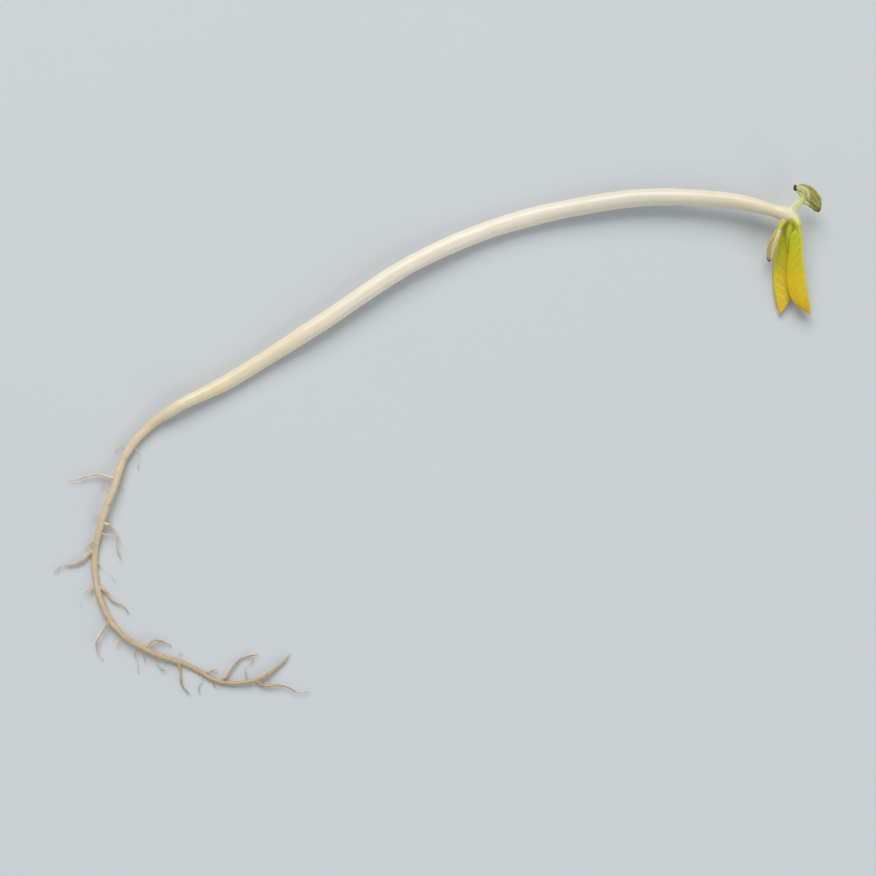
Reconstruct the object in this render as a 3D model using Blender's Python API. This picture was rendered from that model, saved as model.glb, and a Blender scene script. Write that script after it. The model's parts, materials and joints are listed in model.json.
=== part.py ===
"""A mung bean sprout as picked, lying on a flat surface.

The long white stem lies in an arch. One end thins into a curling root with side rootlets, and the other
bends sharply into a pair of young leaves, still folded shut, between two shrivelled seed halves.
Metres, +Z up, the surface is z = 0, and the origin lies under the middle of the sprout's outline.
"""

import math
import random

import bmesh
import bpy
from mathutils import Vector

MM = 0.001
SHARP_ANGLE = math.radians(50)
SMALLEST_EDGE = 0.015  # shorter edges are merged away, mm

# Routes, in mm: x, y, height of the underside above the surface, radius.
# A height below zero is where the soft plant is pressed flat by what it lies on.
STEM_ROUTE = [
    (-25.3, 3.4, 0.40, 0.58),
    (-20.3, 6.0, -0.12, 0.75),
    (-11.9, 11.3, 0.20, 0.82),
    (-2.2, 17.65, 0.25, 0.88),
    (7.9, 21.8, -0.12, 0.90),
    (19.4, 23.95, 0.42, 0.88),
    (28.4, 23.75, 0.97, 0.78),
    (33.4, 22.6, 1.41, 0.64),
]
ROOT_ROUTE = [
    (-25.65, 3.2, 0.42, 0.56),
    (-28.5, 1.3, 0.12, 0.43),
    (-30.8, -1.4, 0.18, 0.37),
    (-32.0, -4.9, 0.50, 0.34),
    (-33.2, -8.3, 0.45, 0.32),
    (-33.9, -12.1, -0.06, 0.31),
    (-33.2, -16.0, 0.20, 0.30),
    (-31.2, -19.2, 0.45, 0.28),
    (-27.9, -21.2, 0.30, 0.27),
    (-24.5, -22.4, -0.05, 0.25),
    (-21.2, -24.0, 0.10, 0.22),
    (-17.6, -23.7, 0.30, 0.17),
    (-15.0, -21.8, 0.15, 0.11),
]
RING_STEP = 0.9  # spacing of the rings along a tube, mm

# The shoot tip: a swollen neck that carries everything at the head of the stem
NECK_ROUTE = [
    (33.7, 22.5, 1.42, 0.64),
    (34.6, 22.2, 1.34, 0.76),
    (35.3, 21.7, 1.36, 0.72),
    (35.4, 21.2, 1.55, 0.52),
]
UPPER_STALK = [(35.3, 21.9, 1.75, 0.42), (35.5, 21.45, 2.12, 0.40), (35.62, 21.05, 2.40, 0.36)]
LOWER_STALK = [(35.1, 21.9, 1.50, 0.42), (34.85, 21.45, 1.10, 0.40), (34.7, 21.0, 0.82, 0.36)]
BUD = [
    (35.25, 21.5, 1.70, 0.36),
    (35.10, 20.5, 1.61, 0.26),
    (35.02, 19.8, 1.54, 0.18),
    (34.97, 19.3, 1.48, 0.08),
]
OUTER_STUB = [(34.9, 22.3, 1.60, 0.55), (35.3, 22.75, 1.75, 0.50), (35.68, 23.18, 2.00, 0.44)]
INNER_STUB = [(34.7, 22.1, 1.60, 0.50), (34.32, 21.5, 1.73, 0.40), (34.12, 21.15, 1.85, 0.34)]
STALK_STEP = 0.4

# Rootlets
ROOTLETS = 9
ROOTLET_SPAN = (0.22, 0.93)  # where on the root the first and last grow, as shares of its length
ROOTLET_LENGTH = (2.2, 6.4)
ROOTLET_RADIUS = 0.17
ROOTLET_HEADING = (62, 88)  # how far from the root's own direction one sets off, degrees
ROOTLET_BEND = (15, 75)  # how far it bends back towards the root's direction, degrees
ROOTLET_SWAY = (14, 30)  # how far it sways to either side, degrees
ROOTLET_LIFT = (0.02, 0.3)  # height of its underside at its tip
ROOTLET_SHARES = (0.0, 0.2, 0.4, 0.6, 0.8, 1.0)  # where along its length its route has points
ROOTLET_SEED = 1232

# Leaves, still folded shut: midribs in mm, from base to tip, and the width from midrib to edges
LEAF_THICKNESS = 0.6  # of both halves together
LEAF_STEPS = 18
LEAF_STRIPS = 6
UPPER_MIDRIB = [(35.85, 20.47, 2.76), (36.02, 18.3, 2.38), (36.35, 15.8, 1.84), (37.0, 12.4, 1.18)]
UPPER_WIDTH = 1.6
UPPER_ROLL = math.radians(-8)  # how far the blade leans over
LOWER_MIDRIB = [(34.4, 20.45, 1.02), (33.85, 18.6, 0.65), (33.62, 15.9, 0.29), (34.05, 12.5, 0.45)]
LOWER_WIDTH = 1.6
LOWER_ROLL = math.radians(4)
STALK_WIDTH = 0.75
TIP_WIDTH = 0.1
LEAF_ARCH = 0.12  # how far a blade arches up between its midrib and its edges, mm
EDGE_WAVE = 0.1  # height of the ripple along a blade's edges, mm

# Shrivelled seed halves: middle lines in mm, half widths and half thicknesses
OUTER_SEED_LINE = [(35.3, 24.8, 2.7), (36.4, 24.5, 2.9), (37.3, 23.7, 2.7), (37.8, 22.4, 2.2)]
INNER_SEED_LINE = [(33.97, 20.9, 2.1), (33.5, 20.05, 2.32), (33.08, 18.95, 2.1), (32.88, 17.55, 1.5)]
OUTER_SEED_HALVES = (0.60, 0.42)
INNER_SEED_HALVES = (0.42, 0.34)
OUTER_SEED_ROLL = math.radians(-12)
INNER_SEED_ROLL = math.radians(10)
WRINKLE_DEPTH = 0.13
BELLY = 0.9  # how much further the outer half reaches on the side that faces the stem

COLOURS = {
    "stem": (0.80, 0.74, 0.60),
    "root": (0.62, 0.52, 0.38),
    "shoot_tip": (0.68, 0.62, 0.22),
    "leaf_upper": (0.68, 0.53, 0.02),
    "leaf_lower": (0.64, 0.50, 0.03),
    "seed_half_outer": (0.30, 0.27, 0.10),
    "seed_half_inner": (0.66, 0.55, 0.22),
}


def smooth_curve(points, steps):
    """Points on one smooth curve through all the given points, the same number on each stretch."""
    points = [Vector(p) for p in points]
    ends = [2 * points[0] - points[1]] + points + [2 * points[-1] - points[-2]]
    curve = []
    for a, b, c, d in zip(ends, ends[1:], ends[2:], ends[3:]):
        for i in range(steps):
            t = i / steps
            slope = (c - a) * t + (2 * a - 5 * b + 4 * c - d) * t**2 + (3 * b - a - 3 * c + d) * t**3
            curve.append(b + 0.5 * slope)
    curve.append(points[-1])
    return curve


def even_curve(points, spacing):
    """The same smooth curve, read at even distances along it."""
    fine = smooth_curve(points, 24)
    run = [0.0]
    for p, q in zip(fine, fine[1:]):
        run.append(run[-1] + (q.xyz - p.xyz).length)
    count = max(2, round(run[-1] / spacing))
    curve = []
    k = 0
    for i in range(count + 1):
        goal = run[-1] * i / count
        while k < len(run) - 2 and run[k + 1] < goal:
            k += 1
        share = (goal - run[k]) / (run[k + 1] - run[k])
        curve.append(fine[k].lerp(fine[k + 1], min(1.0, share)))
    return curve


def add_object(name, mesh):
    """A named object that shows the mesh, shaded smooth but for its sharp edges."""
    mesh.shade_smooth()
    mesh.set_sharp_from_angle(angle=SHARP_ANGLE)
    obj = bpy.data.objects.new(name, mesh)
    bpy.context.collection.objects.link(obj)
    return obj


def paint(obj):
    """The plain colour of one piece."""
    material = bpy.data.materials.new(obj.name)
    material.use_nodes = True
    shader = material.node_tree.nodes["Principled BSDF"]
    shader.inputs["Base Color"].default_value = (*COLOURS[obj.name], 1)
    shader.inputs["Roughness"].default_value = 0.35
    shader.inputs["Metallic"].default_value = 0
    obj.data.materials.append(material)


def press_on_ground(mesh):
    """Flattens what would reach below the surface that the sprout lies on."""
    for vertex in mesh.vertices:
        vertex.co.z = max(vertex.co.z, 0.0)


def tube(name, points, resolution):
    """A round tube along points of x, y, underside height and radius, with closed ends."""
    curve = bpy.data.curves.new(name, "CURVE")
    curve.dimensions = "3D"
    curve.twist_mode = "Z_UP"
    curve.bevel_depth = MM
    curve.bevel_resolution = resolution
    curve.use_fill_caps = True
    spline = curve.splines.new("POLY")
    spline.points.add(len(points) - 1)
    for place, (x, y, lift, radius) in zip(spline.points, points):
        place.co = (x * MM, y * MM, (lift + radius) * MM, 1)
        place.radius = radius
    guide = bpy.data.objects.new(name, curve)
    bpy.context.collection.objects.link(guide)
    bpy.context.view_layer.update()
    read = guide.evaluated_get(bpy.context.evaluated_depsgraph_get())
    mesh = bpy.data.meshes.new_from_object(read)
    bpy.data.objects.remove(guide)
    work = bmesh.new()
    work.from_mesh(mesh)
    bmesh.ops.remove_doubles(work, verts=work.verts, dist=1e-7)
    bmesh.ops.recalc_face_normals(work, faces=work.faces)
    work.to_mesh(mesh)
    work.free()
    press_on_ground(mesh)
    return add_object(name, mesh)


def fuse(obj, others):
    """Joins the other objects into the first as one solid."""
    group = bpy.data.collections.new(obj.name + "_parts")
    for other in others:
        group.objects.link(other)
    union = obj.modifiers.new("fuse", "BOOLEAN")
    union.operation = "UNION"
    union.operand_type = "COLLECTION"
    union.collection = group
    union.solver = "EXACT"
    bpy.context.view_layer.update()
    read = obj.evaluated_get(bpy.context.evaluated_depsgraph_get())
    mesh = bpy.data.meshes.new_from_object(read)
    work = bmesh.new()
    work.from_mesh(mesh)
    bmesh.ops.remove_doubles(work, verts=work.verts, dist=SMALLEST_EDGE * MM)
    bmesh.ops.dissolve_degenerate(work, edges=work.edges, dist=SMALLEST_EDGE * MM)
    bmesh.ops.triangulate(work, faces=work.faces)
    work.to_mesh(mesh)
    work.free()
    obj.modifiers.clear()
    obj.data = mesh
    for other in others:
        bpy.data.objects.remove(other)
    bpy.data.collections.remove(group)


def make_stem():
    """The long white stem."""
    stem = tube("stem", even_curve(STEM_ROUTE, RING_STEP), 6)
    paint(stem)


def rootlet(number, root_points, draw):
    """One side rootlet: it leaves the root to one side and sways as it bends towards the root's tip."""
    first, last = ROOTLET_SPAN
    down_root = first + (last - first) * (number + draw.uniform(-0.3, 0.3)) / (ROOTLETS - 1)
    place = min(len(root_points) - 2, max(1, round(down_root * (len(root_points) - 1))))
    base = root_points[place]
    along = (root_points[place + 1].xy - root_points[place - 1].xy).normalized()
    side = Vector((-along.y, along.x)) * (1 if number % 2 else -1)
    length = draw.uniform(*ROOTLET_LENGTH)
    heading = math.radians(draw.uniform(*ROOTLET_HEADING))
    bend = math.radians(draw.uniform(*ROOTLET_BEND))
    sway = math.radians(draw.uniform(*ROOTLET_SWAY))
    phase = draw.uniform(0, math.tau)
    flat = base.xy
    ends = []
    for before, share in zip((0.0, *ROOTLET_SHARES), ROOTLET_SHARES):
        turn = heading - bend * share + sway * math.sin(7 * share + phase)
        flat = flat + (along * math.cos(turn) + side * math.sin(turn)) * length * (share - before)
        lift = (base.z + base.w - ROOTLET_RADIUS) * (1 - share) + draw.uniform(*ROOTLET_LIFT) * share
        ends.append((flat.x, flat.y, lift, ROOTLET_RADIUS * (1 - 0.35 * share)))
    return tube(f"rootlet_{number}", even_curve(ends, RING_STEP), 1)


def make_root():
    """The taproot with its rootlets, fused into one solid."""
    points = even_curve(ROOT_ROUTE, RING_STEP)
    root = tube("root", points, 3)
    draw = random.Random(ROOTLET_SEED)
    fuse(root, [rootlet(n, points, draw) for n in range(ROOTLETS)])
    paint(root)


def make_shoot_tip():
    """The bent neck, two leaf stalks with the bud between them, and a stub to each seed half."""
    neck = tube("shoot_tip", even_curve(NECK_ROUTE, STALK_STEP), 4)
    branches = {
        "upper_stalk": UPPER_STALK,
        "lower_stalk": LOWER_STALK,
        "bud": BUD,
        "outer_stub": OUTER_STUB,
        "inner_stub": INNER_STUB,
    }
    fuse(neck, [tube(name, even_curve(route, STALK_STEP), 2) for name, route in branches.items()])
    paint(neck)


def leaf(name, midrib, full_width, blade_side, roll):
    """A young leaf, folded shut along its midrib, with its edges to the right (1) or the left (-1) of it."""
    line = smooth_curve(midrib, LEAF_STEPS // (len(midrib) - 1))
    count = len(line) - 1
    work = bmesh.new()
    rows = []
    for i, middle in enumerate(line):
        share = i / count
        ahead = (line[min(i + 1, count)] - line[max(i - 1, 0)]).normalized()
        side = ahead.cross(Vector((0, 0, 1))).normalized()
        up = side.cross(ahead)
        across_blade = blade_side * side * math.cos(roll) + up * math.sin(roll)
        off_blade = up * math.cos(roll) - blade_side * side * math.sin(roll)
        swell = math.sin(math.pi * min(1.0, share**1.7)) ** 0.6
        width = STALK_WIDTH * (1 - share) ** 2 + (full_width - TIP_WIDTH) * swell + TIP_WIDTH
        row = []
        for j in range(LEAF_STRIPS + 1):
            across = j / LEAF_STRIPS
            arch = LEAF_ARCH * math.sin(math.pi * across)
            wave = EDGE_WAVE * math.sin(9 * share) * across**2
            spot = middle + across_blade * (across * width) + off_blade * (arch + wave) * swell
            row.append(work.verts.new(spot * MM))
        rows.append(row)
    for low, high in zip(rows, rows[1:]):
        for j in range(LEAF_STRIPS):
            work.faces.new((low[j], low[j + 1], high[j + 1], high[j]))
    bmesh.ops.triangulate(work, faces=work.faces)
    bmesh.ops.recalc_face_normals(work, faces=work.faces)
    mesh = bpy.data.meshes.new(name)
    work.to_mesh(mesh)
    work.free()
    obj = add_object(name, mesh)
    body = obj.modifiers.new("thickness", "SOLIDIFY")
    body.thickness = LEAF_THICKNESS * MM
    body.offset = 0
    bpy.context.view_layer.update()
    read = obj.evaluated_get(bpy.context.evaluated_depsgraph_get())
    thick = bpy.data.meshes.new_from_object(read)
    obj.modifiers.clear()
    obj.data = thick
    press_on_ground(thick)
    paint(obj)


def seed_half(name, line, halves, belly, roll):
    """A shrivelled seed half: a bent, wrinkled, flattened lens, fuller on the inside of its bend."""
    half_width, half_thickness = halves
    work = bmesh.new()
    bmesh.ops.create_uvsphere(work, u_segments=16, v_segments=12, radius=1)
    curve = smooth_curve(line, 12)
    count = len(curve) - 1
    for vertex in work.verts:
        x, y, z = vertex.co
        share = (z + 1) / 2
        place = share * count
        i = min(count - 1, int(place))
        middle = curve[i].lerp(curve[i + 1], place - i)
        ahead = (curve[i + 1] - curve[i]).normalized()
        side = ahead.cross(Vector((0, 0, 1))).normalized()
        up = side.cross(ahead)
        turn = math.atan2(y, x)
        wrinkle = 1 + WRINKLE_DEPTH * math.sin(5 * turn + 4 * share) * (1 - z * z)
        across = side * math.cos(roll) + up * math.sin(roll)
        out = up * math.cos(roll) - side * math.sin(roll)
        if x > 0:
            x *= 1 + belly * math.sin(math.pi * share)
        vertex.co = (middle + (across * x * half_width + out * y * half_thickness) * wrinkle) * MM
    bmesh.ops.recalc_face_normals(work, faces=work.faces)
    mesh = bpy.data.meshes.new(name)
    work.to_mesh(mesh)
    work.free()
    obj = add_object(name, mesh)
    paint(obj)


def main():
    for old in list(bpy.data.objects):
        bpy.data.objects.remove(old)
    make_stem()
    make_root()
    make_shoot_tip()
    leaf("leaf_upper", UPPER_MIDRIB, UPPER_WIDTH, 1, UPPER_ROLL)
    leaf("leaf_lower", LOWER_MIDRIB, LOWER_WIDTH, -1, LOWER_ROLL)
    seed_half("seed_half_outer", OUTER_SEED_LINE, OUTER_SEED_HALVES, BELLY, OUTER_SEED_ROLL)
    seed_half("seed_half_inner", INNER_SEED_LINE, INNER_SEED_HALVES, 0, INNER_SEED_ROLL)


main()
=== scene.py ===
"""A mung bean sprout as picked, lying on a pale floor: an add-on that is run as a script.

Each piece is modelled at one unit to the millimetre, in the place of the solid that it stands for, and is
then brought down to metres. A route gives x, y, the height of the underside above the floor and the radius.
Where that height is below zero, the soft plant is pressed flat on the floor.
"""

import json
import math
import random
from collections import Counter

import bpy
from bpy.props import FloatProperty, FloatVectorProperty, IntProperty, PointerProperty
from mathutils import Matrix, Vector
from mathutils.kdtree import KDTree

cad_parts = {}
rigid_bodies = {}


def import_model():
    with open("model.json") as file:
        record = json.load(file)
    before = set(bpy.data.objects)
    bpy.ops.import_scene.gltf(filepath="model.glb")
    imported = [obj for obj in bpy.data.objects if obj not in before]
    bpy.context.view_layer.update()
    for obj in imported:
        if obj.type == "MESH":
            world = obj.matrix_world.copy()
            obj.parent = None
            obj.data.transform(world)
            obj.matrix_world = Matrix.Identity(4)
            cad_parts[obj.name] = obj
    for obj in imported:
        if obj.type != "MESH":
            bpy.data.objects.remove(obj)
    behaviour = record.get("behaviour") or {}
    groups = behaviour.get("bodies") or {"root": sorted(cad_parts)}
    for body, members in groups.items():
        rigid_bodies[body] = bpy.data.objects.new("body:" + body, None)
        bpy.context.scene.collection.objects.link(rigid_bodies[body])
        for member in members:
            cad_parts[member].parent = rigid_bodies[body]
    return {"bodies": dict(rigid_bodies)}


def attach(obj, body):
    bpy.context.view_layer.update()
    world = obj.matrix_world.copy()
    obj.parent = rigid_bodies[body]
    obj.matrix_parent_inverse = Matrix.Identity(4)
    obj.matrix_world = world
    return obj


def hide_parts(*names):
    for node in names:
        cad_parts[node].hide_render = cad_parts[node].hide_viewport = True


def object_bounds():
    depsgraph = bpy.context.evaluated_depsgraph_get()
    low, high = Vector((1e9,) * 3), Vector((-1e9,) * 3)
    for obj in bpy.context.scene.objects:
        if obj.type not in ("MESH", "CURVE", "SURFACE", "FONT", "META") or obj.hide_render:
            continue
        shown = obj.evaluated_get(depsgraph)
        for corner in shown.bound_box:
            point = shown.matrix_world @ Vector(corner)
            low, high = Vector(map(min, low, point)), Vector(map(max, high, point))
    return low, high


bl_info = {
    "name": "Mung Bean Sprout",
    "version": (1, 0, 0),
    "blender": (4, 5, 0),
    "location": "3D View > Sidebar > Sprout",
    "description": "A white sprout with its curling root, young yellow leaves and shrivelled seed halves",
    "category": "Add Mesh",
}

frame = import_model()
SOLID_BOX = [list(corner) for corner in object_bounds()]
BODY = next(iter(frame["bodies"]))

MM = 0.001
MERGE = 0.0005  # points closer than this are one point, mm
CURVE_STEPS = 24  # points on each stretch of a curve before it is read at even distances
GUIDE_STEPS = 32  # the same on a line that a leaf or a seed half is bent along
TRACE_STEP = 0.1  # spacing of the points that the surface marks are read from, mm
SMOOTH_ANGLE = math.radians(55)

# Soft lumps on each piece: their size in mm, and their depth as a share of a setting, or else in mm
STEM_LUMPS = [(5.0, 2.0), (1.6, 0.5)]
ROOT_LUMPS = [(0.9, 2.0), (0.35, 0.6)]
SEED_LUMPS = [(0.5, 0.6)]
TIP_LUMPS = [(0.9, 0.07), (0.3, 0.025)]
SCAR_LUMPS = [(0.2, 0.12)]

# The long stem, from the collar to the neck. Both ends run on inside their neighbours.
STEM_ROUTE = [
    (-26.3, 2.75, 0.62, 0.28),
    (-25.3, 3.4, 0.40, 0.58),
    (-20.3, 6.0, -0.12, 0.75),
    (-11.9, 11.3, 0.20, 0.82),
    (-2.2, 17.65, 0.25, 0.88),
    (7.9, 21.8, -0.12, 0.90),
    (19.4, 23.95, 0.42, 0.88),
    (28.4, 23.75, 0.97, 0.78),
    (33.4, 22.6, 1.41, 0.64),
    (34.1, 22.36, 1.54, 0.54),
    (34.7, 22.1, 1.66, 0.40),
]
COLLAR = (-25.6, 3.2, 0.95)  # where the root's skin begins
NECK = (33.7, 22.5, 2.1)  # where the shoot tip's skin begins
STEM_STEP = 0.9
STEM_SIDES = 32
STEM_RINGS = 4  # rings to a step

# The taproot, from inside the stem to its tip
ROOT_ROUTE = [
    (-24.6, 3.75, 0.55, 0.42),
    (-25.65, 3.2, 0.40, 0.59),
    (-28.5, 1.3, 0.12, 0.43),
    (-30.8, -1.4, 0.18, 0.37),
    (-32.0, -4.9, 0.50, 0.34),
    (-33.2, -8.3, 0.45, 0.32),
    (-33.9, -12.1, -0.06, 0.31),
    (-33.2, -16.0, 0.20, 0.30),
    (-31.2, -19.2, 0.45, 0.28),
    (-27.9, -21.2, 0.30, 0.27),
    (-24.5, -22.4, -0.05, 0.25),
    (-21.2, -24.0, 0.10, 0.22),
    (-17.6, -23.7, 0.30, 0.17),
    (-15.0, -21.8, 0.15, 0.11),
    (-14.5, -21.1, 0.20, 0.03),
]
ROOT_SOLID_START = 1  # the solid's route starts at this point, and ends one short of the last
ROOT_STEP = 0.9
ROOT_SIDES = 20
ROOT_RINGS = 4

# Side rootlets, placed by the same rule as the solid's, and hair-thin ones between them
ROOTLETS = 9
ROOTLET_SPAN = (0.22, 0.93)  # where on the root the first and last grow, as shares of its length
ROOTLET_STRAY = 0.3  # how far one may grow from its even place, as a share of their spacing
ROOTLET_LENGTH = (2.2, 6.4)
ROOTLET_SOLID_RADIUS = 0.17
ROOTLET_HEADING = (62, 88)  # how far from the root's own direction one sets off, degrees
ROOTLET_BEND = (15, 75)  # how far it bends back towards the root's direction, degrees
ROOTLET_SWAY = (14, 30)  # how far it sways to either side, degrees
ROOTLET_WAVES = 7  # how far the sway turns over its length, in radians
ROOTLET_LIFT = (0.02, 0.3)  # height of its underside at its tip
ROOTLET_SHARES = (0.0, 0.2, 0.4, 0.6, 0.8, 1.0)  # where along its length its route has points
ROOTLET_SEED = 1232
ROOTLET_STEP = 0.35
ROOTLET_SIDES = 12
ROOTLET_RINGS = 3
ROOTLET_FLARE = 0.5  # how much thicker it is where it leaves the root
ROOTLET_FLARE_FADE = 6  # the flare has faded after one sixth of its length
ROOTLET_TAPER = 0.85  # how much of its radius it loses by its tip
FINE_LENGTH = (0.8, 3.4)
FINE_RADIUS = (0.045, 0.075)
FINE_SIDES = 6
FINE_RINGS = 2
FINE_START = 7  # hair-thin rootlets grow from this point of the root on

# The shoot tip: a swollen neck, two leaf stalks, the bud between them and a link to each seed half
NECK_ROUTE = [
    (32.6, 22.86, 1.55, 0.49),
    (33.3, 22.62, 1.42, 0.615),
    (33.9, 22.45, 1.36, 0.69),
    (34.6, 22.2, 1.32, 0.74),
    (35.2, 21.8, 1.36, 0.72),
    (35.4, 21.2, 1.55, 0.52),
]
UPPER_STALK = [
    (35.3, 21.9, 1.75, 0.46),
    (35.5, 21.45, 2.12, 0.43),
    (35.62, 21.05, 2.38, 0.38),
    (35.66, 20.5, 2.55, 0.24),
    (35.72, 19.8, 2.57, 0.09),
]
LOWER_STALK = [
    (35.1, 21.9, 1.50, 0.46),
    (34.85, 21.45, 1.10, 0.43),
    (34.68, 21.0, 0.82, 0.37),
    (34.55, 20.5, 0.80, 0.24),
    (34.36, 19.8, 0.80, 0.09),
]
BUD = [
    (35.18, 21.5, 1.66, 0.42),
    (35.00, 20.5, 1.50, 0.40),
    (34.90, 19.7, 1.44, 0.31),
    (34.82, 18.7, 1.42, 0.06),
]
OUTER_LINK = [
    (34.9, 22.3, 1.60, 0.55),
    (35.3, 22.75, 1.78, 0.50),
    (35.7, 23.2, 2.05, 0.45),
    (36.1, 23.6, 2.32, 0.34),
    (36.5, 23.95, 2.52, 0.18),
]
INNER_LINK = [
    (34.7, 22.1, 1.60, 0.50),
    (34.3, 21.5, 1.73, 0.38),
    (34.0, 21.0, 1.88, 0.25),
    (33.68, 20.4, 2.10, 0.12),
]
STALK_STEP = 0.3
STALK_RINGS = 3
NECK_SIDES = 24
STALK_SIDES = 16
LEAF_BASES = (35.1, 19.0, 1.7)  # within about 2.5 mm of here, the stalks are as yellow as the leaves

# Leaves, still folded shut: x, y, z along the midrib, and the blade's roll at each point in degrees
UPPER_MIDRIB = [(35.85, 20.6, 2.77), (36.02, 18.3, 2.38), (36.35, 15.8, 1.84), (37.0, 12.3, 1.18)]
LOWER_MIDRIB = [(34.4, 20.55, 1.04), (33.85, 18.6, 0.65), (33.62, 15.9, 0.29), (34.07, 12.4, 0.45)]
UPPER_ROLL = (-4, -8, -10, -14)
LOWER_ROLL = (2, 4, 6, 8)
STALK_WIDTH = 0.92
TIP_WIDTH = 0.05
SWELL_LEAN = 1.7  # above 1, the blade is widest past the middle of its length
SWELL_BLUNTNESS = 0.65  # below 1, it widens faster at both ends
BASE_ROUND = 0.08  # share of the length over which the base closes
TIP_POINT = 0.22  # share of the length over which the blade narrows to its point
END_WIDTH = 0.06  # share of its width that is left at its very ends
END_THICKNESS = 0.12  # share of its thickness there
FOLD_RADIUS = 0.13
LOWER_HALF = 0.95  # the half underneath is a little narrower
LEAF_ARCH = 0.10  # how far each half bulges out between its midrib and its edge
EDGE_WAVE = 0.10  # height of the ripple along the edges
FRILL = 0.35  # height of the short waves, as a share of the long ones
LONG_WAVES = 9  # how far the waves turn over the blade's length, in radians
SHORT_WAVES = 31
EDGE_THINNING = 0.65  # how much thinner the blade is at its edge
LEAF_ROWS = 120
LEAF_STRIPS = 44
STRIP_CROWDING = 1.6  # above 1, the strips lie closer together near the midrib

# Veins, as shares of the blade's length and, for the midrib, of its width
MIDRIB_SPREAD = 0.09
SIDE_VEINS = 7
FIRST_VEIN = 0.06  # where it leaves the midrib
VEIN_SPACING = 0.115
VEIN_SLANT = 0.19  # how much nearer to the tip it meets the edge
VEIN_SPREAD = 0.010
SIDE_VEIN_HEIGHT = 0.65  # as a share of the midrib's

# The middle line of each shrivelled seed half: x, y, z
OUTER_SEED_LINE = [(35.3, 24.8, 2.7), (36.4, 24.5, 2.9), (37.3, 23.7, 2.7), (37.8, 22.4, 2.2)]
INNER_SEED_LINE = [(33.97, 20.9, 2.1), (33.5, 20.05, 2.32), (33.08, 18.95, 2.1), (32.88, 17.55, 1.5)]
OUTER_SEED_ROLL = math.radians(-12)
INNER_SEED_ROLL = math.radians(10)
INNER_WRINKLES = 0.7  # depth of the inner half's wrinkles, as a share of the outer's
SEED_SEGMENTS = 96
SEED_RINGS = 72
SCAR = (35.42, 24.76, 2.76)
SCAR_RADIUS = 0.27
SCAR_SHAPE = (0.7, 1.15, 0.85)

# The stage
FLOOR_DROP = 0.02 * MM  # keeps the floor clear of what is pressed flat on it
KEY_PLACE = (-0.06, 0.30, 0.34)
FILL_PLACE = (0.26, -0.22, 0.22)
KEY_COLOUR = (1.0, 0.985, 0.96)
FILL_COLOUR = (0.95, 0.98, 1.0)
ROOM_COLOUR = (0.92, 0.96, 1.0)


def kind_of_value(prop, **limits):
    """One kind of value that a user may change. Each is given by its name, description and default."""
    return lambda name, text, default: prop(name=name, description=text, default=default, **limits)


length_value = kind_of_value(FloatProperty, min=0, precision=5, unit="LENGTH")
share_value = kind_of_value(FloatProperty, min=0, max=1, subtype="FACTOR")
angle_value = kind_of_value(FloatProperty, subtype="ANGLE", unit="ROTATION")
lens_value = kind_of_value(FloatProperty, unit="CAMERA")
strength_value = kind_of_value(FloatProperty, min=0)
count_value = kind_of_value(IntProperty, min=0)
colour_value = kind_of_value(FloatVectorProperty, min=0, max=1, size=3, subtype="COLOR")


class StemSettings(bpy.types.PropertyGroup):
    lump_depth: length_value("Lump Depth", "How far the stem swells and narrows along its length", 0.00008)
    flesh: colour_value("Flesh", "White middle of the stem", (0.86, 0.79, 0.67))
    ends: colour_value("Ends", "Warmer flesh towards both ends of the stem", (0.80, 0.70, 0.485))
    glassy: colour_value("Glassy Streaks", "Watery streaks along the stem", (0.72, 0.69, 0.58))
    specks: colour_value("Specks", "The few tan specks", (0.42, 0.29, 0.15))
    wetness: share_value("Wetness", "Strength of the clear wet coat", 0.35)
    depth_of_light: length_value("Depth of Light", "How far light spreads in the flesh", 0.0006)


class RootSettings(bpy.types.PropertyGroup):
    rootlet_radius: length_value("Rootlet Radius", "Radius of a side rootlet near the root", 0.00016)
    fine_rootlets: count_value("Fine Rootlets", "Number of hair-thin rootlets", 26)
    crinkle: length_value("Crinkle", "Depth of the root's uneven skin", 0.00007)
    young: colour_value("Young Root", "Colour near the stem", (0.76, 0.62, 0.42))
    old: colour_value("Old Root", "Colour towards the tips", (0.36, 0.23, 0.11))
    stain: colour_value("Stain", "Brown patches", (0.25, 0.15, 0.07))


class TipSettings(bpy.types.PropertyGroup):
    grain: length_value("Grain", "Size of the cells that the fused flesh is rebuilt from", 0.00006)
    neck: colour_value("Neck", "Colour where the stem ends", (0.80, 0.74, 0.52))
    node: colour_value("Node", "Yellow-green swollen node", (0.64, 0.64, 0.24))
    stalks: colour_value("Stalks", "Colour where the leaves start", (0.58, 0.57, 0.02))


class LeafSettings(bpy.types.PropertyGroup):
    width: length_value("Width", "Width of each folded leaf", 0.0016)
    thickness: length_value("Thickness", "Thickness of each half at the midrib", 0.00020)
    opening: angle_value("Opening", "How far each half has opened from the other", math.radians(5))
    vein_height: length_value("Vein Height", "How far the veins stand out", 0.00006)
    base: colour_value("Base", "Colour near the stalk", (0.50, 0.52, 0.012))
    middle: colour_value("Middle", "Golden middle of a blade", (0.70, 0.54, 0.010))
    tip: colour_value("Tip", "Deeper gold of its point and edges", (0.70, 0.40, 0.010))
    veins: colour_value("Veins", "Paler veins", (0.82, 0.70, 0.09))
    # Painted light: the lower leaf, shaded by the upper one, is lightened all over with the veins' paler
    # colour.
    lower_painted_light: share_value("Lower Pallor", "How far the lower leaf takes the colour of its veins", 0.2)


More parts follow.
